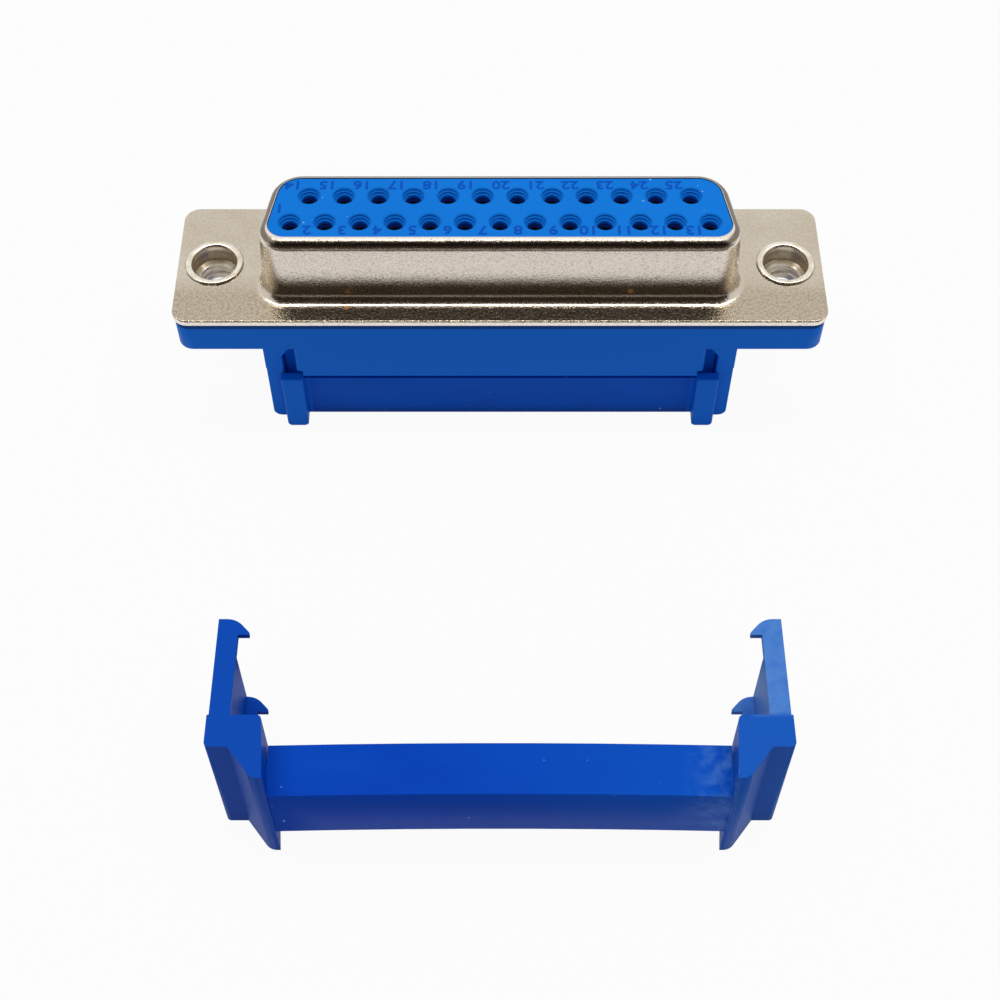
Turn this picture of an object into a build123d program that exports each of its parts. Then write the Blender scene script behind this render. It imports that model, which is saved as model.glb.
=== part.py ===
from build123d import *
import math
import os

# A 25-way socket connector for flat ribbon cable, standing on its cover, with its strain relief
# lying in front of it. Millimetres. X runs along the connector, +Z is the mating direction and
# Z = 0 is the front face of the metal flange. The origin is midway between the mounting holes.

# Contact layout
front_row_count = 13
rear_row_count = 12
socket_pitch = 2.77
socket_row_spacing = 2.84
wire_pitch = 1.27
fork_edge_distance = 0.9

# Metal shell
flange_depth = 12.5
flange_end_margin = 3.0
flange_corner_radius = 1.3
flange_edge_round = 0.12
sheet_thickness = 0.5
shroud_end_margin = 2.73
shroud_depth = 7.9
shroud_side_angle = 10.0
shroud_front_radius = 1.9
shroud_rear_radius = 2.6
shroud_height = 6.5
shroud_foot_spread = 0.37
shroud_rim_round = 0.78
shroud_base_round = 0.9

# Opening in the shroud's rim, which the mating face fills
lip_front = 0.835
lip_rear = 0.62
lip_side = 0.58
opening_front_radius = 1.4
opening_rear_radius = 1.9
face_recess = 0.08

# Threaded inserts
insert_to_shroud = 4.17
insert_rim_diameter = 4.75
insert_rim_height = 0.22
insert_rim_round = 0.14
insert_rim_depth = 0.3
insert_tube_diameter = 4.5
insert_bore_diameter = 3.66
insert_bore_depth = 1.45
insert_step_height = 0.25
insert_thread_bore_diameter = 2.84
insert_exit_chamfer = 0.2
insert_plate_length = 4.9
insert_plate_depth = 5.8
insert_plate_round = 0.4
insert_clearance = 0.05

# Insulator housing
housing_inset = 0.1
housing_flange_thickness = 3.05
ear_floor_thickness = 1.7
ear_pocket_clearance = 0.1
ear_pocket_inner_gap = 0.67
ear_pocket_wall = 0.3
insert_plate_recess = 0.1
block_end_margin = 1.76
block_setback = 0.25
block_height = 3.69
block_edge_round = 0.2
slot_width = 1.2
column_thickness = 1.4
column_setback = 0.6
column_height = 9.85
column_foot_round = 0.7
grip_rib_count = 4
grip_rib_width = 0.9
grip_groove_depth = 0.25
gusset_step = 0.2
gusset_root = 1.0
gusset_height = 3.15
gusset_inset = 0.3

# Funnels on the mating face
funnel_diameter = 1.92
funnel_step_count = 3
funnel_step_slope = 0.08
funnel_step_wall = 0.17
entry_diameter = 1.26
entry_depth = 1.3

# Contacts
socket_diameter = 1.5
socket_bore_diameter = 1.04
socket_length = 6.4
socket_bore_depth = 5.6
contact_web_width = 1.0
contact_thickness = 0.4
fork_width = 1.7
fork_gap = 0.2
fork_gap_depth = 2.4
fork_stick_out = 0.96
fork_tip_chamfer = 0.12
contact_clearance = 0.05

# Cover
close_travel = 0.8
cover_gap = 1.45
cover_setback = 0.3
cover_height = 4.94
cover_edge_round = 0.35
cover_slot_depth = 1.6
cover_running_gap = 0.1
foot_drop = 0.2
leg_rise = 4.1
leg_setback = 1.0
post_block_lap = 0.4
post_column_lap = 0.2
post_thickness = 0.8
post_top_drop = 0.26
post_edge_chamfer = 0.12
foot_corner_round = 0.35
notch_clearance = 0.1
channel_end_wall = 0.3
channel_depth = 6.0
channel_height = 1.8
end_wall_lap = 0.05

# Strain relief
relief_running_gap = 0.1
relief_web_thickness = 0.55
relief_flange_thickness = 0.5
relief_post_gap = 0.37
relief_hook_gap = 0.05
relief_hook_reach = 0.8
relief_hook_height = 1.3
relief_hook_flat = 0.2
relief_hook_round = 1.5
relief_bracket_ledge = 0.14
relief_bracket_lip = 2.44
relief_bracket_height = 4.79
relief_bracket_splay = 0.4
relief_bracket_foot = 0.76
relief_bracket_round = 0.35
relief_foot_round = 1.0
relief_bar_depth = 6.0
relief_bar_top = 0.8
relief_bar_height = 3.9
relief_bar_bow = 0.2
relief_front_y = 45.5

# Rows of sockets and forks
socket_row_length = (front_row_count - 1) * socket_pitch
fork_pitch = 2 * wire_pitch
fork_row_length = (front_row_count - 1) * fork_pitch

# Places along X, measured from the middle
shroud_length = socket_row_length + 2 * shroud_end_margin
block_length = fork_row_length + 2 * block_end_margin
column_inner = block_length / 2 + slot_width
column_outer = column_inner + column_thickness
ear_pocket_reach = insert_plate_length / 2 + ear_pocket_inner_gap
insert_x = max(
    shroud_length / 2 + insert_to_shroud,
    column_outer + ear_pocket_wall + ear_pocket_reach,
)
flange_length = 2 * (insert_x + flange_end_margin)
end_wall_outer = column_inner - cover_running_gap
post_inner = block_length / 2 - post_block_lap
post_outer = column_inner + post_column_lap
end_wall_inner = post_inner + end_wall_lap
channel_length = 2 * (end_wall_inner - channel_end_wall)
relief_web_inner = column_outer + relief_running_gap
relief_arm_outer = relief_web_inner + relief_web_thickness
relief_arm_inner = post_outer + relief_post_gap
relief_bracket_outer = relief_arm_outer + relief_bracket_ledge

# Depths along Y
block_depth = flange_depth - 2 * block_setback
column_depth = block_depth - 2 * column_setback
cover_depth = column_depth - 2 * cover_setback
fork_row_spacing = cover_depth - 2 * fork_edge_distance
end_wall_half_depth = column_depth / 2 + cover_running_gap
relief_flange_inner = column_depth / 2 + gusset_step + relief_running_gap
relief_depth = 2 * (relief_flange_inner + relief_flange_thickness)

# Levels along Z
housing_top = -sheet_thickness
flange_underside = housing_top - housing_flange_thickness
ear_pocket_top = housing_top - ear_floor_thickness
insert_underside = flange_underside + insert_plate_recess
block_underside = flange_underside - block_height
cover_top = block_underside - cover_gap
cover_underside = cover_top - cover_height
foot_level = cover_underside - foot_drop
post_top = block_underside - post_top_drop
column_underside = flange_underside - column_height
mating_level = shroud_height - face_recess
cavity_top = mating_level - entry_depth
socket_top = cavity_top - contact_clearance
socket_foot = socket_top - socket_length
fork_tip = block_underside - fork_stick_out
relief_hook_foot = post_top - foot_level + relief_hook_gap
relief_arm_height = relief_hook_foot + relief_hook_height

# Lengths that only have to be long enough for a cut to run through, or to find a corner by
cut_margin = 1.0
corner_reach = 0.1
through_length = 4 * (shroud_height - foot_level)


def box_between(low, high):
    """A box from its low corner to its high corner."""
    size = [high[i] - low[i] for i in range(3)]
    middle = [(high[i] + low[i]) / 2 for i in range(3)]
    return Pos(*middle) * Box(*size)


def on_side(side, near, far):
    """Two places on one side of the middle, the lower one first."""
    return sorted((side * near, side * far))


def d_face(front, rear, side, front_radius, rear_radius):
    """The shroud's outline, wide side towards -Y, each side brought in by its own distance."""
    slope = math.tan(math.radians(shroud_side_angle))
    half_depth = shroud_depth / 2
    end = shroud_length / 2 - side / math.cos(math.radians(shroud_side_angle))
    wide = end - front * slope
    narrow = end - (shroud_depth - rear) * slope
    low_y = front - half_depth
    high_y = half_depth - rear
    outline = Polygon((-wide, low_y), (wide, low_y), (narrow, high_y), (-narrow, high_y), align=None)
    outline = fillet(outline.vertices().group_by(Axis.Y)[0], front_radius)
    return fillet(outline.vertices().group_by(Axis.Y)[-1], rear_radius)


def shroud_section(inset, level):
    """The shroud's outline at a level, brought in all round. Its ends spread towards the flange."""
    spread = shroud_foot_spread * (shroud_height - level) / shroud_height
    radii = (shroud_front_radius - inset, shroud_rear_radius - inset)
    return Pos(0, 0, level) * d_face(inset, inset, inset - spread, *radii)


def drawn_shroud(inset, low, high):
    return loft([shroud_section(inset, low), shroud_section(inset, high)], ruled=True)


def nose_prism(inset, low, high):
    """The upright part of the insulator that stands inside the shroud."""
    radii = (shroud_front_radius - inset, shroud_rear_radius - inset)
    return Pos(0, 0, low) * extrude(d_face(inset, inset, inset, *radii), amount=high - low)


def opening_prism(inset, low, high):
    """The form of the opening in the rim, brought in all round."""
    lips = (lip_front + inset, lip_rear + inset, lip_side + inset)
    radii = (opening_front_radius - inset, opening_rear_radius - inset)
    return Pos(0, 0, low) * extrude(d_face(*lips, *radii), amount=high - low)


def rounded_plate(length, depth, corner_radius, low, high):
    return Pos(0, 0, low) * extrude(RectangleRounded(length, depth, corner_radius), amount=high - low)


def turned(profile):
    """A solid turned about Z from a face drawn in radius and height."""
    return revolve(Plane.XZ * profile, Axis.Z)


def prism_along_y(points, low, high):
    """A prism whose outline is drawn in X and Z, from one Y to another."""
    face = make_face(Polyline(*points, close=True))
    return extrude(Plane.XZ.offset(-high) * face, amount=high - low)


def contact_places():
    """Socket and fork places of every contact: the front row first, then the rear row."""
    rows = [(front_row_count, -1), (rear_row_count, 1)]
    for count, row in rows:
        for index in range(count):
            along = index - (count - 1) / 2
            socket = (along * socket_pitch, row * socket_row_spacing / 2)
            fork = (along * fork_pitch, row * fork_row_spacing / 2)
            yield socket, fork


def is_shroud_foot(edge):
    """True for an edge where the shroud rises out of the flange."""
    point = edge.center()
    inside_length = abs(point.X) < shroud_length / 2 + sheet_thickness
    inside_depth = abs(point.Y) < shroud_depth / 2 + sheet_thickness
    return abs(point.Z) < sheet_thickness / 10 and inside_length and inside_depth


def make_front_shell():
    shell = rounded_plate(flange_length, flange_depth, flange_corner_radius, housing_top, 0)
    shell = fillet(shell.faces().sort_by(Axis.Z)[-1].edges(), flange_edge_round)
    shell += drawn_shroud(0, housing_top, shroud_height)
    shell = fillet(shell.edges().filter_by(is_shroud_foot), shroud_base_round)
    shell = fillet(shell.faces().sort_by(Axis.Z)[-1].edges(), shroud_rim_round)
    inner_top = shroud_height - sheet_thickness
    cuts = [
        drawn_shroud(sheet_thickness, housing_top - cut_margin, inner_top),
        opening_prism(0, inner_top - cut_margin, shroud_height + cut_margin),
    ]
    tube_hole = insert_tube_diameter / 2 + insert_clearance
    rim_hole = insert_rim_diameter / 2 + insert_clearance
    for side in (-1, 1):
        place = Pos(side * insert_x, 0, 0)
        cuts.append(place * Cylinder(tube_hole, through_length))
        cuts.append(place * Cylinder(rim_hole, 2 * insert_rim_depth))
    return shell - cuts


def make_insert(side):
    outer = insert_tube_diameter / 2
    rim = insert_rim_diameter / 2
    bore = insert_bore_diameter / 2
    thread = insert_thread_bore_diameter / 2
    profile = make_face(Polyline(
        (thread, insert_underside + insert_exit_chamfer),
        (thread, -insert_bore_depth - insert_step_height),
        (bore, -insert_bore_depth),
        (bore, insert_rim_height),
        (rim, insert_rim_height),
        (rim, -insert_rim_depth),
        (outer, -insert_rim_depth),
        (outer, insert_underside),
        (thread + insert_exit_chamfer, insert_underside),
        close=True,
    ))
    mouth, shoulder = profile.vertices().group_by(Axis.Y)[-1].sort_by(Axis.X)
    profile = fillet(mouth, insert_rim_height)
    shoulder = profile.vertices().group_by(Axis.Y)[-1].sort_by(Axis.X)[-1]
    body = turned(fillet(shoulder, insert_rim_round))
    plate = box_between(
        (-insert_plate_length / 2, -insert_plate_depth / 2, insert_underside),
        (insert_plate_length / 2, insert_plate_depth / 2, ear_pocket_top),
    )
    plate = fillet(plate.edges().filter_by(Axis.Z), insert_plate_round)
    plate -= Cylinder((bore + outer) / 2, through_length)
    return Pos(side * insert_x, 0, 0) * (body + plate)


def make_contact(socket, fork):
    """A terminal: a round socket, a slanted link and a two-tined fork that straddles its wire."""
    socket_x, socket_y = socket
    fork_x, fork_y = fork
    half = contact_thickness / 2
    barrel = Pos(socket_x, socket_y, (socket_top + socket_foot) / 2) * Cylinder(
        socket_diameter / 2, socket_length
    )
    barrel -= Pos(socket_x, socket_y, socket_top - socket_bore_depth / 2) * Cylinder(
        socket_bore_diameter / 2, socket_bore_depth
    )
    blade = box_between(
        (fork_x - fork_width / 2, fork_y - half, fork_tip),
        (fork_x + fork_width / 2, fork_y + half, socket_foot),
    )
    tips = blade.edges().filter_by(Axis.Y).group_by(Axis.Z)[0]
    blade = chamfer(tips, fork_tip_chamfer)
    blade -= box_between(
        (fork_x - fork_gap / 2, fork_y - half, fork_tip),
        (fork_x + fork_gap / 2, fork_y + half, fork_tip + fork_gap_depth),
    )
    return barrel + contact_link(socket, fork, 0) + blade


def contact_link(socket, fork, margin):
    """The flat link, slantwise from a socket's foot out to its fork, grown by a margin all round."""
    thickness = contact_thickness + 2 * margin
    bar = Box(math.dist(socket, fork) + thickness, contact_web_width + 2 * margin, thickness)
    turn = math.degrees(math.atan2(fork[1] - socket[1], fork[0] - socket[0]))
    middle_x = (socket[0] + fork[0]) / 2
    middle_y = (socket[1] + fork[1]) / 2
    return Pos(middle_x, middle_y, socket_foot - contact_thickness / 2) * Rot(Z=turn) * bar


def fork_slot(fork, low, high):
    """The slot that a fork stands in, with its clearance all round."""
    reach = fork_width / 2 + contact_clearance
    half = contact_thickness / 2 + contact_clearance
    return box_between((fork[0] - reach, fork[1] - half, low), (fork[0] + reach, fork[1] + half, high))


def contact_cavity(socket, fork):
    """The three cuts that make room for a contact inside the housing."""
    link_foot = socket_foot - contact_thickness
    barrel = Pos(socket[0], socket[1], (cavity_top + link_foot) / 2) * Cylinder(
        socket_diameter / 2 + contact_clearance, cavity_top - link_foot
    )
    slot = fork_slot(fork, block_underside - cut_margin, socket_foot + contact_clearance)
    return [barrel, slot, contact_link(socket, fork, contact_clearance)]


def funnel_cut():
    """A stepped lead-in on the mating face with a pin entry below it."""
    mouth = funnel_diameter / 2
    entry = entry_diameter / 2
    narrowing = (mouth - entry) / funnel_step_count
    points = [(0, cavity_top), (0, mating_level), (mouth, mating_level)]
    level = mating_level
    for index in range(funnel_step_count):
        radius = mouth - (index + 1) * narrowing
        points.append((radius, level - funnel_step_slope))
        level -= funnel_step_slope + funnel_step_wall
        if index < funnel_step_count - 1:
            points.append((radius, level))
    points.append((entry, cavity_top))
    return turned(make_face(Polyline(*points, close=True)))


def outer_foot(solid, side):
    """The lowest edge along Y on the side away from the middle."""
    feet = solid.edges().filter_by(Axis.Y).group_by(Axis.Z)[0].sort_by(Axis.X)
    return feet[-1] if side > 0 else feet[0]


def make_column(side):
    """An end column of the housing, ribbed for grip outside, with the cover's leg inside it."""
    half = column_depth / 2
    low_x, high_x = on_side(side, column_inner, column_outer)
    column = box_between((low_x, -half, column_underside), (high_x, half, flange_underside))
    column = fillet(outer_foot(column, side), column_foot_round)
    groove_count = grip_rib_count - 1
    groove_width = (column_depth - grip_rib_count * grip_rib_width) / groove_count
    low_x, high_x = on_side(side, column_outer - grip_groove_depth, column_outer + cut_margin)
    grooves = []
    for index in range(groove_count):
        start = -half + grip_rib_width + index * (grip_rib_width + groove_width)
        low = (low_x, start, column_underside - cut_margin)
        high = (high_x, start + groove_width, flange_underside - grip_rib_width)
        grooves.append(box_between(low, high))
    return column - grooves


def make_gusset(side, row):
    """A triangle that braces a column to the flange, on the front or the rear."""
    points = [
        (side * column_outer, flange_underside),
        (side * block_length / 2, flange_underside),
        (side * (column_outer - gusset_inset), flange_underside - gusset_height),
        (side * column_outer, flange_underside - gusset_height),
    ]
    face = column_depth / 2 + gusset_step
    low, high = on_side(row, face - gusset_root, face)
    return prism_along_y(points, low, high)


def post_notch(side, row):
    """A cut at a corner of the block that lets the cover's post rise past it."""
    top = block_underside + close_travel - post_top_drop + notch_clearance
    low_x, high_x = on_side(side, post_inner - notch_clearance, column_inner)
    low_y, high_y = on_side(row, end_wall_half_depth - post_block_lap, block_depth)
    return box_between((low_x, low_y, block_underside - cut_margin), (high_x, high_y, top))


def ear_pocket(side):
    """The recess under a mounting ear, open at the end, that holds the insert's plate."""
    half = insert_plate_depth / 2 + ear_pocket_clearance
    low_x, high_x = on_side(side, insert_x - ear_pocket_reach, flange_length / 2 + cut_margin)
    return box_between((low_x, -half, flange_underside - cut_margin), (high_x, half, ear_pocket_top))


def make_block():
    """The middle block that carries the forks, with a notch at each lower corner."""
    block = box_between(
        (-block_length / 2, -block_depth / 2, block_underside),
        (block_length / 2, block_depth / 2, flange_underside),
    )
    block = fillet(block.edges().filter_by(Axis.Z), block_edge_round)
    return block - [post_notch(side, row) for side in (-1, 1) for row in (-1, 1)]


def make_housing():
    nose_inset = sheet_thickness + contact_clearance
    nose_top = shroud_height - sheet_thickness - contact_clearance
    flange = rounded_plate(
        flange_length - 2 * housing_inset,
        flange_depth - 2 * housing_inset,
        flange_corner_radius,
        flange_underside,
        housing_top,
    )
    solids = [
        nose_prism(nose_inset, housing_top, nose_top),
        opening_prism(contact_clearance, housing_top, mating_level),
        make_block(),
    ]
    cuts = []
    for side in (-1, 1):
        solids.append(make_column(side))
        solids += [make_gusset(side, row) for row in (-1, 1)]
        cuts.append(ear_pocket(side))
        tube_hole = Cylinder(insert_tube_diameter / 2 + insert_clearance, through_length)
        cuts.append(Pos(side * insert_x, 0, 0) * tube_hole)
    funnel = funnel_cut()
    for socket, fork in contact_places():
        cuts.append(Pos(socket[0], socket[1], 0) * funnel)
        cuts += contact_cavity(socket, fork)
    return flange + solids - cuts


def make_post(side, row):
    """A corner post of the cover, with a rounded foot and bevelled edges on its face."""
    low_x, high_x = on_side(side, post_inner, post_outer)
    low_y, high_y = on_side(row, end_wall_half_depth, end_wall_half_depth + post_thickness)
    post = box_between((low_x, low_y, foot_level), (high_x, high_y, post_top))
    post = fillet(post.edges().filter_by(Axis.Y).group_by(Axis.Z)[0], foot_corner_round)
    face = post.faces().sort_by(Axis.Y)[0 if row < 0 else -1]
    return chamfer(face.edges().sort_by(Axis.Z)[:-1], post_edge_chamfer)


def make_end_wall(side):
    """The solids at one end of the cover: its wall, the leg up into the housing, two posts."""
    half = end_wall_half_depth
    low_x, high_x = on_side(side, end_wall_inner, end_wall_outer)
    wall = box_between((low_x, -half, foot_level), (high_x, half, cover_top))
    wall = fillet(outer_foot(wall, side), foot_corner_round)
    leg_half = column_depth / 2 - leg_setback
    low_x, high_x = on_side(side, block_length / 2 + cover_running_gap, end_wall_outer)
    leg = box_between((low_x, -leg_half, cover_top), (high_x, leg_half, cover_top + leg_rise))
    return [wall, leg] + [make_post(side, row) for row in (-1, 1)]


def make_cover():
    half = cover_depth / 2
    cover = box_between((-end_wall_inner, -half, cover_underside), (end_wall_inner, half, cover_top))
    long_feet = cover.edges().filter_by(Axis.X).group_by(Axis.Z)[0]
    cover = fillet(long_feet, cover_edge_round)
    channel = box_between(
        (-channel_length / 2, -channel_depth / 2, cover_underside - cut_margin),
        (channel_length / 2, channel_depth / 2, cover_underside + channel_height),
    )
    slots = [
        fork_slot(fork, cover_top - cover_slot_depth, cover_top + cut_margin)
        for socket, fork in contact_places()
    ]
    return cover - [channel] + make_end_wall(-1) + make_end_wall(1) - slots


def make_bracket(side):
    """The foot of an arm, outlined from its outer top corner round to its inner top corner."""
    half = relief_depth / 2
    points = [
        (relief_bracket_outer, 0),
        (relief_bracket_outer, -relief_bracket_lip),
        (relief_arm_inner, -relief_bracket_lip),
        (post_inner - relief_bracket_splay + relief_bracket_foot, -relief_bracket_height),
        (post_inner - relief_bracket_splay, -relief_bracket_height),
        (post_inner, 0),
    ]
    bracket = prism_along_y([(side * x, z) for x, z in points], -half, half)
    bracket = fillet(edges_at(bracket, side, points[3]), relief_foot_round)
    return fillet(edges_at(bracket, side, points[1], points[5]), relief_bracket_round)


def edges_at(solid, side, *corners):
    """The edges along Y that run through the given corners."""
    found = []
    for edge in solid.edges().filter_by(Axis.Y):
        point = edge.center()
        for x, z in corners:
            if abs(point.X - side * x) < corner_reach and abs(point.Z - z) < corner_reach:
                found.append(edge)
    return found


def make_arm(side):
    """An arm of the strain relief: a web outside, with a hooked flange in front and behind."""
    half = relief_depth / 2
    root = -relief_bracket_lip / 2
    hook_x = relief_arm_inner - relief_hook_reach
    points = [
        (relief_arm_outer, root),
        (relief_arm_outer, relief_arm_height),
        (relief_arm_inner + relief_hook_flat, relief_arm_height),
        (hook_x, relief_hook_foot + relief_hook_flat),
        (hook_x, relief_hook_foot),
        (relief_arm_inner, relief_hook_foot),
        (relief_arm_inner, root),
    ]
    arm = prism_along_y([(side * x, z) for x, z in points], -half, half)
    arm = fillet(edges_at(arm, side, points[2]), relief_hook_round)
    low_x, high_x = on_side(side, 0, relief_web_inner)
    low = (low_x, -relief_flange_inner, 0)
    high = (high_x, relief_flange_inner, relief_arm_height + cut_margin)
    return arm - [box_between(low, high)]


def make_bar():
    """The bar that clamps the ribbon, bowed a little towards the arms."""
    reach = post_inner - relief_bracket_splay / 2
    top = -relief_bar_top
    foot = top - relief_bar_height
    outline = [
        ThreePointArc((-reach, top), (0, top + relief_bar_bow), (reach, top)),
        Line((reach, top), (reach, foot)),
        ThreePointArc((reach, foot), (0, foot + relief_bar_bow), (-reach, foot)),
        Line((-reach, foot), (-reach, top)),
    ]
    plane = Plane.XZ.offset(-relief_bar_depth / 2)
    return extrude(plane * make_face(Wire(outline)), amount=relief_bar_depth)


def make_strain_relief():
    """Made upright with its arms towards +Z, then laid on its side with its arms towards +Y."""
    relief = make_bar()
    for side in (-1, 1):
        relief += [make_bracket(side), make_arm(side)]
    laid = Rot(X=-90) * relief
    return Pos(0, relief_bracket_height - relief_front_y, foot_level + relief_depth / 2) * laid


def make_part():
    parts = {
        "front_shell": make_front_shell(),
        "housing": make_housing(),
        "cover": make_cover(),
        "strain_relief": make_strain_relief(),
        "threaded_insert_left": make_insert(-1),
        "threaded_insert_right": make_insert(1),
    }
    for number, (socket, fork) in enumerate(contact_places(), start=1):
        parts[f"contact_{number:02d}"] = make_contact(socket, fork)
    return parts


os.makedirs("parts", exist_ok=True)
for name, shape in make_part().items():
    export_step(shape, f"parts/{name}.step")
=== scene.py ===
import math

import bmesh
import bpy
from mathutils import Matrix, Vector


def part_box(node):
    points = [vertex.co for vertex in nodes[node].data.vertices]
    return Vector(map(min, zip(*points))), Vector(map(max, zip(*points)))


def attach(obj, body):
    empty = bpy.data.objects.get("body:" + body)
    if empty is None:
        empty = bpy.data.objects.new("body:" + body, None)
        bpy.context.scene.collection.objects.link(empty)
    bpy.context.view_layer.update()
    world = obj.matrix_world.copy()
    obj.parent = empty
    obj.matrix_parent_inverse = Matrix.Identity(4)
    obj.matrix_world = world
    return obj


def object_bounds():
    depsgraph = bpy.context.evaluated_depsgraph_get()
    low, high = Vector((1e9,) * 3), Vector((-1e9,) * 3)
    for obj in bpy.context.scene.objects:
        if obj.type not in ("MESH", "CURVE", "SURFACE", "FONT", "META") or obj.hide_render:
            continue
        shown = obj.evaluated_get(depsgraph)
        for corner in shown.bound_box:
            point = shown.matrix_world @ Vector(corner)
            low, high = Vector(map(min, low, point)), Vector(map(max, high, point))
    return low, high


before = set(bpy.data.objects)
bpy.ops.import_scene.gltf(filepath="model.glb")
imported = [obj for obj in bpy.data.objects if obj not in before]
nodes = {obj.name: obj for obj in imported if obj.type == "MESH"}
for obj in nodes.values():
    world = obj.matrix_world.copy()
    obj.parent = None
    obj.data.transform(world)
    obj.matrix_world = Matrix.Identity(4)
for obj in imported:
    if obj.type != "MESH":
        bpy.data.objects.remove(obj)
cad_box = [list(corner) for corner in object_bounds()]

MM = 0.001
FLOOR_Z = cad_box[0][2]
MATING_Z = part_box("housing")[1].z

# Contact layout, in mm
SOCKET_PITCH = 2.77
ROW_HALF_SPACING = 1.42
FRONT_COUNT = 13
REAR_COUNT = 12
SOCKET_FOOT_Z = (-1.4, -1.0)

# Moulded contact numbers, in mm
FRONT_TEXT = 1.3
REAR_TEXT = 1.25
TEXT_STRETCH = 1.15
TEXT_WEIGHT = 0.02
TEXT_RAISE = 0.03

# Places of the numbers' middles from their contacts, in mm
FIRST_SHIFT = (-0.87, 1.47)
FRONT_SHIFT = (-1.34, -0.86)
REAR_SHIFT = (-1.33, 1.2)

# Threaded inserts, in mm
INSERT_X = 23.52
THREAD_RADIUS = 1.42
THREAD_DEPTH = 0.14
THREAD_PITCH = 0.55
THREAD_TOP = -1.93
THREAD_FOOT = -3.03
THREAD_ROOT = THREAD_RADIUS + 0.01
THREAD_HALF_WIDTH = THREAD_PITCH * 0.42
CREST_HALF_WIDTH = THREAD_HALF_WIDTH * 0.15
TAPERED_SHARE = 1 / 6
STEPS_PER_TURN = 48
BORE_TOP_Z = (-0.5, -0.1)
BORE_FOOT_Z = (-1.75, -1.55)

# Camera: place and clipping in metres, tilt in degrees, lens and sensor in mm
CAMERA_PLACE = (0.0, -0.09478, 0.10374)
CAMERA_TILT = 34.45
CAMERA_LENS = 60.8
SENSOR_WIDTH = 36
CLIP_START = 0.002
CLIP_END = 20

# Studio: sizes and places in metres, greys and glows as shares of white, power in watts
FLOOR_SIZE = 3.0
FLOOR_GREY = 0.6
FLOOR_WHITE_SHARE = 0.95
WORLD_DIM = 0.35
CARD_HALF_WIDTH = 0.9
CARD_FRONT_Y = -0.0305
CARD_TOE_Y = -0.0262
CARD_FLOOR_GAP = 0.0002
GREY_CARD_TOP = -0.0034
PALE_CARD_TOP = 0.001
DARK_CARD_ROOF = [(-0.5, 0.02, 0.9), (-0.5, 0.38, 0.9), (-0.25, 0.53, 0.34), (-0.06, 0.59, 0.27)]
GREY_CARD_GLOW = (0.12, 0.1, 0.09)
PALE_CARD_GLOW = (0.47, 0.43, 0.41)
DARK_CARD_GLOW = (0.03, 0.02, 0.013)
LAMP_PLACE = (0, 0.03, 0.6)
LAMP_AIM = (0, -0.01, 0)
LAMP_WIDTH = 0.8
LAMP_DEPTH = 0.09
LAMP_POWER = 2.9

# Shell finish: where each shade starts and ends, in mm from the part's origin; most of them
# place painted light and shade
WALL_LIGHTENS_Z = (1.6, 3.0)
FRONT_DARKENS_Y = (-3.8, -1.0)
FLANGE_FACE_Z = (0.01, 0.08)
FLANGE_EDGE_Z = (-0.08, -0.03)
RIM_SHADE_LOW_Z = (6.09, 6.22)
RIM_SHADE_HIGH_Z = (6.45, 6.485)
FOOT_SMOOTHS_Z = (0.002, 0.02)

# Shell finish: display colours from 0 to 255, some of them painted light and shade
NICKEL = (205, 195, 180)
NICKEL_STAINED = (196, 185, 167)
# Painted reflection: the plated wall is tinted lighter than the flange
NICKEL_WALL_LIT = (224, 214, 202)
# Painted reflection: a darker tint on the flange before the shroud
NICKEL_FRONT_SHADE = (187, 175, 156)
NICKEL_MOTTLE = (140, 126, 104)
# Painted highlight along the flange's edge
NICKEL_EDGE_HIGHLIGHT = (238, 231, 219)
# Painted shade on the rim
NICKEL_RIM_SHADE = (108, 98, 89)
NICKEL_GRAIN = (160, 146, 128)
RUST = (205, 138, 40)

# Rust specks on the shell: place, full size and outer size, in mm
RUST_SPECKS = [((-12.4, -4.75, 0.0), 0.12, 0.29), ((10.5, -3.95, 1.08), 0.16, 0.32)]

# Pale specks on the plastic, and one painted glint: place and size, in mm
HOUSING_SPECKS_AND_GLINT = [
    # painted glint at the inner edge of contact hole 18
    ((-3.49, 1.6, 6.42), 0.14),
    ((13.43, 2.62, 6.42), 0.12),
    ((-22.05, -6.2, -2.07), 0.1),
    ((-11.47, -6.0, -5.22), 0.08),
    ((21.07, -6.2, -1.69), 0.14),
    ((2.3, -6.0, -6.15), 0.1),
]
COVER_SPECKS = [((13.9, -5.1, -12.9), 0.12)]

# Tin and insert finish: display colours from 0 to 255, first and second of each blotch
TIN_TONES = ((232, 230, 224), (205, 202, 196))
SOCKET_BRASS = (70, 56, 40)
INSERT_BRIGHT = ((232, 226, 214), (212, 200, 178))
INSERT_BROWN = ((176, 160, 132), (150, 132, 104))

# Plastic tones: display colours from 0 to 255, lighter and deeper
HOUSING_TONES = ((14, 120, 218), (12, 115, 212))
# Painted shade: the moulded numbers are a darker blue than the face they stand on
NUMBER_SHADE_TONES = ((8, 84, 188), (7, 80, 182))
COVER_TONES = ((8, 92, 211), (7, 88, 205))
RELIEF_TONES = ((2, 66, 183), (3, 72, 188))
# Colour of the pale specks, and of the painted glint
PALE_SPECK_AND_GLINT = (176, 202, 234)

# Plastic shades, most of them painted light and shade: display colours from 0 to 255
# Painted light and shade: the one moulding is a deeper blue below the flange
HOUSING_BELOW_PAINTED = (16, 117, 235)
# Painted shadow on the housing just under the shell's flange
CREVICE_SHADOW = (6, 40, 96)
# Painted shade deep in the pin entries
ENTRY_SHADE = (2, 14, 62)
# Painted light: a faint navy glow deep in the pin entries
ENTRY_PAINTED_GLOW = (3, 18, 66)
# Painted shade: the cover darkens towards its foot
COVER_FOOT_SHADE = (4, 34, 92)
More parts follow.
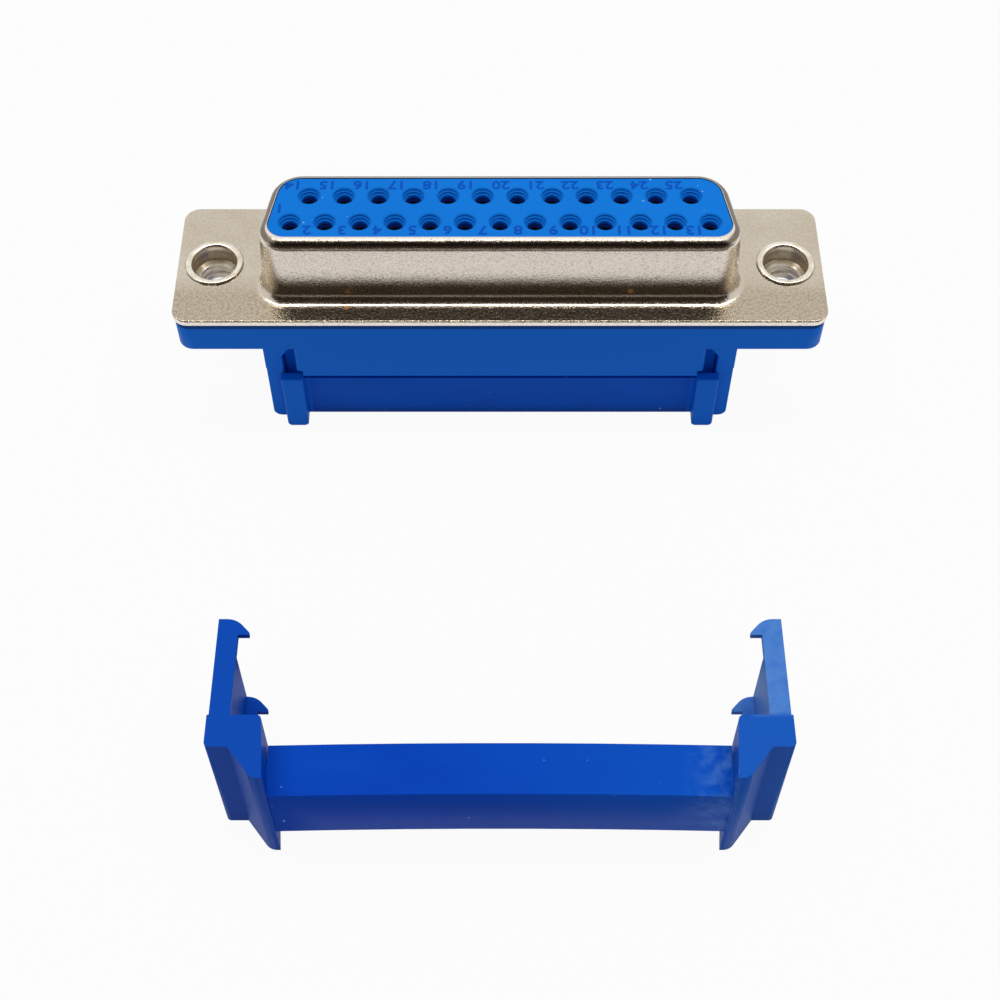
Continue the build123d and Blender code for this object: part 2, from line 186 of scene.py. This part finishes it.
# Painted light on the cover's corner posts
COVER_POST_LIT = (14, 112, 230)
BAR_RIGHT = (8, 82, 192)
BRACKET_LEFT = (12, 75, 180)
BRACKET_RIGHT = (24, 90, 190)
SCUFFED = (86, 138, 212)

# Plastic shades, most of them painted light and shade: where each starts and ends, in mm from
# the part's origin
HOUSING_BELOW_Z = (-0.5, -0.3)
# Span of the painted shadow under the shell's flange
CREVICE_SHADOW_LOW_Z = (-1.12, -0.95)
CREVICE_SHADOW_HIGH_Z = (-0.1, 0.0)
ENTRY_LOW_Z = (4.3, 4.6)
ENTRY_HIGH_Z = (5.5, 5.68)
COVER_FOOT_SHADE_Z = (-13.9, -12.3)
COVER_POSTS_X = (16.1, 16.3)
RELIEF_PALES_X = (-6.0, 17.0)
BRACKETS_X = (16.25, 16.4)
SCUFFED_ARM_X = (17.2, 17.9)
SCUFFED_ARM_Y = (-41.0, -40.4)
HAZE_LEFT_X = (12.4, 16.0)
HAZE_RIGHT_X = (16.2, 16.4)

# Softened edges: widths in mm, and the least angle of an edge in degrees
SOFT_EDGES = {"housing": 0.05, "cover": 0.06, "strain_relief": 0.08}
SOFT_SEGMENTS = 2
SOFT_ANGLE = 40
WELD_DISTANCE = 0.001


class Paint:
    """A node material under construction, in the part's own coordinates."""

    def __init__(self, name, **values):
        self.material = bpy.data.materials.new(name)
        self.material.use_nodes = True
        self.tree = self.material.node_tree
        self.shader = self.tree.nodes["Principled BSDF"]
        for key, value in values.items():
            self.shader.inputs[key.replace("_", " ")].default_value = value
        self.place = self.tree.nodes.new("ShaderNodeTexCoord").outputs["Object"]

    def node(self, kind, **settings):
        node = self.tree.nodes.new(kind)
        for key, value in settings.items():
            setattr(node, key, value)
        return node

    def feed(self, node, key, value):
        if isinstance(value, bpy.types.NodeSocket):
            self.tree.links.new(value, node.inputs[key])
        else:
            node.inputs[key].default_value = value

    def math(self, operation, first, second=0.0):
        node = self.node("ShaderNodeMath", operation=operation)
        self.feed(node, 0, first)
        self.feed(node, 1, second)
        return node.outputs[0]

    def stretched(self, scale):
        """The part's coordinates, stretched by a factor along each axis."""
        node = self.node("ShaderNodeMapping")
        self.feed(node, "Vector", self.place)
        node.inputs["Scale"].default_value = scale
        return node.outputs[0]

    def noise(self, size_mm, detail=2.0, roughness=0.5, vector=None):
        """Noise from 0 to 1 whose blobs are about the given size."""
        node = self.node("ShaderNodeTexNoise")
        self.feed(node, "Vector", vector or self.place)
        node.inputs["Scale"].default_value = 1 / (size_mm * MM)
        node.inputs["Detail"].default_value = detail
        node.inputs["Roughness"].default_value = roughness
        return node.outputs["Fac"]

    def steps(self, value, low, high, to_low=0.0, to_high=1.0):
        """A smooth rise from one value to another as the input passes from low to high."""
        node = self.node("ShaderNodeMapRange", interpolation_type="SMOOTHSTEP")
        self.feed(node, "Value", value)
        node.inputs["From Min"].default_value = low
        node.inputs["From Max"].default_value = high
        node.inputs["To Min"].default_value = to_low
        node.inputs["To Max"].default_value = to_high
        return node.outputs["Result"]

    def rise(self, axis, span_mm, to_low=0.0, to_high=1.0):
        """A smooth rise between two places along an axis, in mm."""
        low, high = span_mm
        return self.steps(self.along(axis), low * MM, high * MM, to_low, to_high)

    def fall(self, axis, span_mm, from_high=1.0):
        """A smooth fall to 0 between two places along an axis, in mm."""
        return self.rise(axis, span_mm, from_high, 0.0)

    def beyond(self, axis, span_mm):
        """1 on both sides beyond a distance from the part's middle, in mm."""
        low, high = span_mm
        return self.steps(self.math("ABSOLUTE", self.along(axis)), low * MM, high * MM)

    def both(self, first, second):
        return self.math("MULTIPLY", first, second)

    def either(self, first, second):
        return self.math("MAXIMUM", first, second)

    def near(self, point_mm, full_mm, none_mm):
        """1 within a distance of a point, falling to 0 further out."""
        node = self.node("ShaderNodeVectorMath", operation="DISTANCE")
        self.feed(node, 0, self.place)
        node.inputs[1].default_value = [value * MM for value in point_mm]
        return self.steps(node.outputs["Value"], full_mm * MM, none_mm * MM, 1.0, 0.0)

    def along(self, axis):
        """One coordinate of the part, in metres."""
        node = self.node("ShaderNodeSeparateXYZ")
        self.feed(node, "Vector", self.place)
        return node.outputs[axis]

    def mix(self, amount, first, second):
        node = self.node("ShaderNodeMix", data_type="RGBA")
        self.feed(node, 0, amount)
        self.feed(node, 6, first)
        self.feed(node, 7, second)
        return node.outputs[2]

    def blend(self, amount, tones):
        """A mix of two display colours."""
        first, second = tones
        return self.mix(amount, colour(first), colour(second))

    def bump(self, height, depth_mm, strength=1.0, under=None):
        node = self.node("ShaderNodeBump")
        node.inputs["Distance"].default_value = depth_mm * MM
        self.feed(node, "Strength", strength)
        self.feed(node, "Height", height)
        if under is not None:
            self.feed(node, "Normal", under)
        return node.outputs["Normal"]

    def use(self, **sockets):
        for key, value in sockets.items():
            self.feed(self.shader, key.replace("_", " "), value)
        return self.material


def colour(display):
    """A display colour from 0 to 255 as the linear colour that a shader takes."""
    linear = []
    for value in display:
        value /= 255
        linear.append(value / 12.92 if value <= 0.04045 else ((value + 0.055) / 1.055) ** 2.4)
    return (*linear, 1.0)


def nickel_shades(paint, grain):
    """The shell's tint, with painted light and shade: a painted lighter reflection up the wall,
    a darker painted reflection, mottled, on the flange before the shroud, a painted highlight on
    the flange's edge and painted shade on the rim.
    """
    stain = paint.steps(paint.noise(size_mm=5.0, detail=4.0, roughness=0.6), 0.35, 0.65)
    tint = paint.blend(stain, (NICKEL, NICKEL_STAINED))
    # Painted reflection: the wall grows lighter upwards
    tint = paint.mix(paint.rise("Z", WALL_LIGHTENS_Z), tint, colour(NICKEL_WALL_LIT))
    # Painted reflection: the flange before the shroud is tinted darker
    front = paint.both(paint.fall("Y", FRONT_DARKENS_Y), paint.fall("Z", FLANGE_FACE_Z))
    tint = paint.mix(front, tint, colour(NICKEL_FRONT_SHADE))
    mottle = paint.noise(size_mm=0.24, detail=3.0, roughness=0.7)
    mottle = paint.steps(mottle, 0.44, 0.6, 0.0, 0.55)
    mottle = paint.both(mottle, paint.either(front, paint.fall("Z", FLANGE_FACE_Z, 0.35)))
    tint = paint.mix(mottle, tint, colour(NICKEL_MOTTLE))
    # Painted highlight: the flange's edge is tinted paler
    tint = paint.mix(paint.fall("Z", FLANGE_EDGE_Z), tint, colour(NICKEL_EDGE_HIGHLIGHT))
    # Painted shade on the outer round of the rim
    rim_low = paint.rise("Z", RIM_SHADE_LOW_Z, 0.0, 0.92)
    rim = paint.both(rim_low, paint.fall("Z", RIM_SHADE_HIGH_Z))
    tint = paint.mix(rim, tint, colour(NICKEL_RIM_SHADE))
    return paint.mix(paint.steps(grain, 0.55, 0.72, 0.0, 0.3), tint, colour(NICKEL_GRAIN))


def rust_share(paint):
    """1 on the ragged rust specks."""
    rust = 0.0
    for place, full, outer in RUST_SPECKS:
        rust = paint.either(rust, paint.near(place, full, outer))
    return paint.both(rust, paint.steps(paint.noise(size_mm=0.12), 0.34, 0.46))


def make_nickel():
    """Barrel-plated nickel: warm, with a fine grain like orange peel and a few rusty specks."""
    paint = Paint("nickel_shell", Metallic=1.0)
    grain = paint.noise(size_mm=0.2, detail=2.0, roughness=0.6)
    rust = rust_share(paint)
    tint = paint.mix(rust, nickel_shades(paint, grain), colour(RUST))
    metal = paint.steps(rust, 0.0, 1.0, 1.0, 0.35)
    rough = paint.steps(grain, 0.3, 0.7, 0.19, 0.28)
    foot = paint.rise("Z", FOOT_SMOOTHS_Z, 1.0, 0.4)
    wall = paint.steps(paint.rise("Z", WALL_LIGHTENS_Z), 0.0, 1.0, 1.0, 1.1)
    fine = paint.bump(grain, depth_mm=0.038, strength=paint.both(foot, wall))
    coarse = paint.bump(paint.noise(size_mm=1.6, detail=2.0), depth_mm=0.01, under=fine)
    return paint.use(Base_Color=tint, Metallic=metal, Roughness=rough, Normal=coarse)


def make_turned_nickel():
    """Turned nickel with tool rings round the insert's bore, brown on the bore's walls between
    its pale mouth and its pale step and thread.
    """
    paint = Paint("nickel_insert", Metallic=1.0)
    blotch = paint.noise(size_mm=0.7, detail=3.0)
    rings = paint.noise(size_mm=0.06, detail=2.0, vector=paint.stretched((0.05, 0.05, 1.0)))
    bright = paint.blend(paint.steps(blotch, 0.3, 0.7), INSERT_BRIGHT)
    brown = paint.blend(paint.steps(blotch, 0.35, 0.65), INSERT_BROWN)
    # Brown between BORE_TOP_Z and BORE_FOOT_Z, pale above and below
    pale_ends = paint.either(paint.rise("Z", BORE_TOP_Z), paint.fall("Z", BORE_FOOT_Z))
    tint = paint.mix(pale_ends, brown, bright)
    metal = paint.rise("Z", BORE_TOP_Z, 0.25, 1.0)
    rough = paint.steps(rings, 0.3, 0.7, 0.2, 0.36)
    normal = paint.bump(rings, depth_mm=0.004)
    return paint.use(Base_Color=tint, Metallic=metal, Roughness=rough, Normal=normal)


def make_tin():
    """Matt tin plate on the forks, and dull dark brass in the sockets."""
    paint = Paint("tin_contact", Metallic=1.0)
    blotch = paint.noise(size_mm=0.25, detail=3.0)
    tinned = paint.blend(blotch, TIN_TONES)
    tint = paint.mix(paint.rise("Z", SOCKET_FOOT_Z), tinned, colour(SOCKET_BRASS))
    rough = paint.steps(blotch, 0.3, 0.7, 0.25, 0.42)
    return paint.use(Base_Color=tint, Roughness=rough, Normal=paint.bump(blotch, depth_mm=0.004))


def blue_plastic(name, tones, specks=(), shaded=None, shine=0.06):
    """Moulded blue plastic with a faint flow pattern, fine texture and a few pale specks, and
    painted glints where listed among them.
    """
    paint = Paint(name, Specular_IOR_Level=shine)
    flow = paint.noise(size_mm=4.0, detail=3.0, vector=paint.stretched((0.35, 1.0, 1.0)))
    texture = paint.noise(size_mm=0.07, detail=3.0, roughness=0.6)
    tint = paint.blend(paint.steps(flow, 0.3, 0.7), tones)
    pale = paint.both(paint.steps(paint.noise(size_mm=0.34, detail=0.0), 0.86, 0.88), 0.6)
    # The listed specks include the housing's painted glint
    for place, size in specks:
        pale = paint.either(pale, paint.near(place, size * 0.4, size))
    tint = paint.mix(pale, tint, colour(PALE_SPECK_AND_GLINT))
    if shaded is not None:
        tint = shaded(paint, tint)
    rough = paint.steps(texture, 0.3, 0.7, 0.38, 0.5)
    ripple = paint.bump(paint.noise(size_mm=0.8, detail=1.0), depth_mm=0.003)
    normal = paint.bump(texture, depth_mm=0.0015, under=ripple)
    return paint.use(Base_Color=tint, Roughness=rough, Normal=normal)


def housing_shade(paint, tint):
    """Painted light and shade on the housing: a deeper blue below the flange, a dark painted
    shadow under the shell, and painted navy shade with a faint painted glow in the pin entries.
    """
    # Painted light and shade: a deeper blue below the flange
    tint = paint.mix(paint.fall("Z", HOUSING_BELOW_Z), tint, colour(HOUSING_BELOW_PAINTED))
    # Painted shadow just under the shell's flange
    crevice_shadow = paint.rise("Z", CREVICE_SHADOW_LOW_Z, 0.0, 0.75)
    crevice_shadow = paint.both(crevice_shadow, paint.fall("Z", CREVICE_SHADOW_HIGH_Z))
    tint = paint.mix(crevice_shadow, tint, colour(CREVICE_SHADOW))
    # Painted shade with a faint painted glow deep in the pin entries
    inside = paint.both(paint.rise("Z", ENTRY_LOW_Z), paint.fall("Z", ENTRY_HIGH_Z))
    paint.use(Emission_Color=colour(ENTRY_PAINTED_GLOW), Emission_Strength=inside)
    return paint.mix(inside, tint, colour(ENTRY_SHADE))


def cover_shade(paint, tint):
    """Painted light on the corner posts, and painted shade darkening the cover towards its foot.
    """
    # Painted shade towards the foot
    tint = paint.mix(paint.fall("Z", COVER_FOOT_SHADE_Z, 0.6), tint, colour(COVER_FOOT_SHADE))
    # Painted light on the corner posts
    return paint.mix(paint.beyond("X", COVER_POSTS_X), tint, colour(COVER_POST_LIT))


def relief_wear(paint, tint):
    """A bar that grows paler towards the right, paler brackets and arms, a scuffed right arm,
    and a whitish haze of wear on the bar beside it.
    """
    rightward = paint.rise("X", RELIEF_PALES_X)
    tint = paint.mix(rightward, tint, colour(BAR_RIGHT))
    bracket = paint.blend(rightward, (BRACKET_LEFT, BRACKET_RIGHT))
    tint = paint.mix(paint.beyond("X", BRACKETS_X), tint, bracket)
    cloud = paint.noise(size_mm=1.1, detail=4.0, roughness=0.6)
    arm = paint.both(paint.rise("X", SCUFFED_ARM_X), paint.rise("Y", SCUFFED_ARM_Y))
    arm = paint.both(arm, paint.steps(cloud, 0.2, 0.75, 0.45, 0.95))
    haze = paint.both(paint.rise("X", HAZE_LEFT_X), paint.fall("X", HAZE_RIGHT_X))
    haze = paint.both(haze, paint.steps(cloud, 0.36, 0.7, 0.0, 0.55))
    return paint.mix(paint.either(arm, haze), tint, colour(SCUFFED))


def dress(node, material):
    """Gives every material slot of a CAD node the same finish."""
    mesh = node.data
    mesh.materials.clear()
    mesh.materials.append(material)


def soften(node, width_mm):
    """Breaks a moulded node's sharp edges so that they catch the light."""
    weld = node.modifiers.new("weld", "WELD")
    weld.merge_threshold = WELD_DISTANCE * MM
    bevel = node.modifiers.new("bevel", "BEVEL")
    bevel.width = width_mm * MM
    bevel.segments = SOFT_SEGMENTS
    bevel.limit_method = "ANGLE"
    bevel.angle_limit = math.radians(SOFT_ANGLE)
    bevel.harden_normals = True


def contact_numbers():
    """Each number with its text size and the place of its middle on the mating face, in mm."""
    for index in range(FRONT_COUNT):
        x = (index - (FRONT_COUNT - 1) / 2) * SOCKET_PITCH
        shift_x, shift_y = FIRST_SHIFT if index == 0 else FRONT_SHIFT
        yield index + 1, FRONT_TEXT, x + shift_x, -ROW_HALF_SPACING + shift_y
    for index in range(REAR_COUNT):
        x = (index - (REAR_COUNT - 1) / 2) * SOCKET_PITCH
        shift_x, shift_y = REAR_SHIFT
        yield FRONT_COUNT + index + 1, REAR_TEXT, x + shift_x, ROW_HALF_SPACING + shift_y


def make_numbers(material):
    """The moulded contact numbers, which read right from behind the connector."""
    built = bmesh.new()
    for number, size, x, y in contact_numbers():
        text = bpy.data.curves.new(f"number_{number}", "FONT")
        text.body = str(number)
        text.size = size * MM
        text.offset = TEXT_WEIGHT * MM
        text.extrude = TEXT_RAISE * MM
        text.resolution_u = 3
        text.align_x = "CENTER"
        text.align_y = "CENTER"
        carrier = bpy.data.objects.new("number", text)
        bpy.context.scene.collection.objects.link(carrier)
        bpy.context.view_layer.update()
        mesh = bpy.data.meshes.new_from_object(carrier)
        for vertex in mesh.vertices:
            vertex.co.x = x * MM - vertex.co.x * TEXT_STRETCH
            vertex.co.y = y * MM - vertex.co.y
            vertex.co.z = vertex.co.z + MATING_Z
        built.from_mesh(mesh)
        bpy.data.objects.remove(carrier)
        bpy.data.curves.remove(text)
        bpy.data.meshes.remove(mesh)
    mesh = bpy.data.meshes.new("contact_numbers")
    built.to_mesh(mesh)
    built.free()
    piece = bpy.data.objects.new("contact_numbers", mesh)
    bpy.context.scene.collection.objects.link(piece)
    mesh.materials.append(material)
    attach(piece, "connector")


def make_thread(name, x, material):
    """A helical ridge inside an insert's lower bore."""
    built = bmesh.new()
    turns = (THREAD_TOP - THREAD_FOOT) / THREAD_PITCH
    count = round(turns * STEPS_PER_TURN)
    rows = []
    for index in range(count + 1):
        share = index / count
        angle = share * turns * math.tau
        height = THREAD_TOP - share * (THREAD_TOP - THREAD_FOOT)
        taper = min(1.0, share / TAPERED_SHARE, (1 - share) / TAPERED_SHARE)
        crest = THREAD_RADIUS - THREAD_DEPTH * taper
        profile = [
            (THREAD_ROOT, height + THREAD_HALF_WIDTH),
            (crest, height + CREST_HALF_WIDTH),
            (crest, height - CREST_HALF_WIDTH),
            (THREAD_ROOT, height - THREAD_HALF_WIDTH),
        ]
        row = []
        for radius, level in profile:
            place = (x + radius * math.cos(angle), radius * math.sin(angle), level)
            row.append(built.verts.new([value * MM for value in place]))
        rows.append(row)
    for first, second in zip(rows, rows[1:]):
        for index in range(4):
            following = (index + 1) % 4
            built.faces.new((first[index], first[following], second[following], second[index]))
    built.faces.new(rows[0])
    built.faces.new(reversed(rows[-1]))
    bmesh.ops.recalc_face_normals(built, faces=built.faces)
    mesh = bpy.data.meshes.new(name)
    built.to_mesh(mesh)
    built.free()
    piece = bpy.data.objects.new(name, mesh)
    bpy.context.scene.collection.objects.link(piece)
    mesh.materials.append(material)
    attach(piece, "connector")


def seen_as_background(tree):
    """1 for rays that see the backdrop itself: camera, mirror and transmitted rays."""
    path = tree.nodes.new("ShaderNodeLightPath")
    total = path.outputs["Is Camera Ray"]
    for name in ("Is Glossy Ray", "Is Transmission Ray"):
        node = tree.nodes.new("ShaderNodeMath")
        node.operation = "MAXIMUM"
        tree.links.new(total, node.inputs[0])
        tree.links.new(path.outputs[name], node.inputs[1])
        total = node.outputs[0]
    return total


def make_floor():
    """A floor that is white to the camera and in mirrors, but keeps the object's shadow."""
    material = bpy.data.materials.new("floor")
    material.use_nodes = True
    tree = material.node_tree
    tree.nodes.clear()
    diffuse = tree.nodes.new("ShaderNodeBsdfDiffuse")
    diffuse.inputs["Color"].default_value = (FLOOR_GREY, FLOOR_GREY, FLOOR_GREY, 1)
    glow = tree.nodes.new("ShaderNodeEmission")
    glow.inputs["Color"].default_value = (1, 1, 1, 1)
    glow.inputs["Strength"].default_value = 1.0
    share = tree.nodes.new("ShaderNodeMath")
    share.operation = "MULTIPLY"
    tree.links.new(seen_as_background(tree), share.inputs[0])
    share.inputs[1].default_value = FLOOR_WHITE_SHARE
    blend = tree.nodes.new("ShaderNodeMixShader")
    tree.links.new(share.outputs[0], blend.inputs[0])
    tree.links.new(diffuse.outputs[0], blend.inputs[1])
    tree.links.new(glow.outputs[0], blend.inputs[2])
    output = tree.nodes.new("ShaderNodeOutputMaterial")
    tree.links.new(blend.outputs[0], output.inputs["Surface"])
    half = FLOOR_SIZE / 2
    corners = [(-half, -half, 0), (half, -half, 0), (half, half, 0), (-half, half, 0)]
    mesh = bpy.data.meshes.new("floor")
    mesh.from_pydata(corners, [], [(0, 1, 2, 3)])
    mesh.materials.append(material)
    piece = bpy.data.objects.new("floor", mesh)
    piece.location = (0, 0, FLOOR_Z)
    bpy.context.scene.collection.objects.link(piece)


def reflected_card(name, glow_colour, profile):
    """A long card that only polished surfaces show, from places in Y and Z with half widths."""
    material = bpy.data.materials.new(name)
    material.use_nodes = True
    tree = material.node_tree
    tree.nodes.clear()
    glow = tree.nodes.new("ShaderNodeEmission")
    glow.inputs["Color"].default_value = (*glow_colour, 1)
    output = tree.nodes.new("ShaderNodeOutputMaterial")
    tree.links.new(glow.outputs[0], output.inputs["Surface"])
    corners = [(x, y, z) for y, z, half in profile for x in (-half, half)]
    faces = [(index, index + 1, index + 3, index + 2) for index in range(0, len(corners) - 2, 2)]
    mesh = bpy.data.meshes.new(name)
    mesh.from_pydata(corners, [], faces)
    mesh.materials.append(material)
    piece = bpy.data.objects.new(name, mesh)
    bpy.context.scene.collection.objects.link(piece)
    piece.visible_camera = False
    piece.visible_diffuse = False
    piece.visible_shadow = False


def make_reflected_cards():
    """A dim brown card round the camera's side, with a grey and a paler one below it."""
    half = CARD_HALF_WIDTH
    toe = (CARD_TOE_Y, FLOOR_Z + CARD_FLOOR_GAP, half)
    foot = (CARD_FRONT_Y, FLOOR_Z + CARD_FLOOR_GAP, half)
    middle = (CARD_FRONT_Y, GREY_CARD_TOP, half)
    edge = (CARD_FRONT_Y, PALE_CARD_TOP, half)
    reflected_card("grey_card", GREY_CARD_GLOW, [toe, foot, middle])
    reflected_card("pale_card", PALE_CARD_GLOW, [middle, edge])
    reflected_card("dark_card", DARK_CARD_GLOW, [edge] + DARK_CARD_ROOF)


def make_world():
    """Dim surroundings that are white to the camera and in mirrors."""
    world = bpy.data.worlds.new("surroundings")
    bpy.context.scene.world = world
    world.use_nodes = True
    tree = world.node_tree
    tree.nodes.clear()
    dim = tree.nodes.new("ShaderNodeBackground")
    dim.inputs["Color"].default_value = (1, 1, 1, 1)
    dim.inputs["Strength"].default_value = WORLD_DIM
    white = tree.nodes.new("ShaderNodeBackground")
    white.inputs["Color"].default_value = (1, 1, 1, 1)
    white.inputs["Strength"].default_value = 1.0
    blend = tree.nodes.new("ShaderNodeMixShader")
    tree.links.new(seen_as_background(tree), blend.inputs[0])
    tree.links.new(dim.outputs[0], blend.inputs[1])
    tree.links.new(white.outputs[0], blend.inputs[2])
    output = tree.nodes.new("ShaderNodeOutputWorld")
    tree.links.new(blend.outputs[0], output.inputs["Surface"])


def make_lamp(name, place, look_at, width, depth, power):
    """A rectangular lamp that faces a point."""
    lamp = bpy.data.lights.new(name, "AREA")
    lamp.shape = "RECTANGLE"
    lamp.size = width
    lamp.size_y = depth
    lamp.energy = power
    holder = bpy.data.objects.new(name, lamp)
    holder.location = place
    aim = Vector(look_at) - Vector(place)
    holder.rotation_euler = aim.to_track_quat("-Z", "Y").to_euler()
    bpy.context.scene.collection.objects.link(holder)


def make_camera():
    camera = bpy.data.cameras.new("camera")
    camera.lens = CAMERA_LENS
    camera.sensor_width = SENSOR_WIDTH
    camera.clip_start = CLIP_START
    camera.clip_end = CLIP_END
    holder = bpy.data.objects.new("camera", camera)
    holder.location = CAMERA_PLACE
    holder.rotation_euler = (math.radians(CAMERA_TILT), 0, 0)
    bpy.context.scene.collection.objects.link(holder)
    bpy.context.scene.camera = holder


make_camera()

housing_blue = blue_plastic("blue_housing", HOUSING_TONES, HOUSING_SPECKS_AND_GLINT, housing_shade)
# The numbers' darker blue is painted shade
number_shaded_blue = blue_plastic("blue_number_shaded", NUMBER_SHADE_TONES)
cover_blue = blue_plastic("blue_cover", COVER_TONES, COVER_SPECKS, cover_shade)
relief_blue = blue_plastic("blue_relief", RELIEF_TONES, shaded=relief_wear, shine=0.03)
shell_nickel = make_nickel()
insert_nickel = make_turned_nickel()
contact_tin = make_tin()

finishes = {
    "housing": housing_blue,
    "cover": cover_blue,
    "strain_relief": relief_blue,
    "front_shell": shell_nickel,
    "threaded_insert_left": insert_nickel,
    "threaded_insert_right": insert_nickel,
}
for name, node in nodes.items():
    dress(node, finishes.get(name, contact_tin))
for name, width in SOFT_EDGES.items():
    soften(nodes[name], width)

make_numbers(number_shaded_blue)
for side, name in ((-1, "thread_left"), (1, "thread_right")):
    make_thread(name, side * INSERT_X, insert_nickel)

make_floor()
make_reflected_cards()
make_world()
make_lamp("top_light", LAMP_PLACE, LAMP_AIM, LAMP_WIDTH, LAMP_DEPTH, LAMP_POWER)

scene = bpy.context.scene
scene.view_settings.view_transform = "Standard"
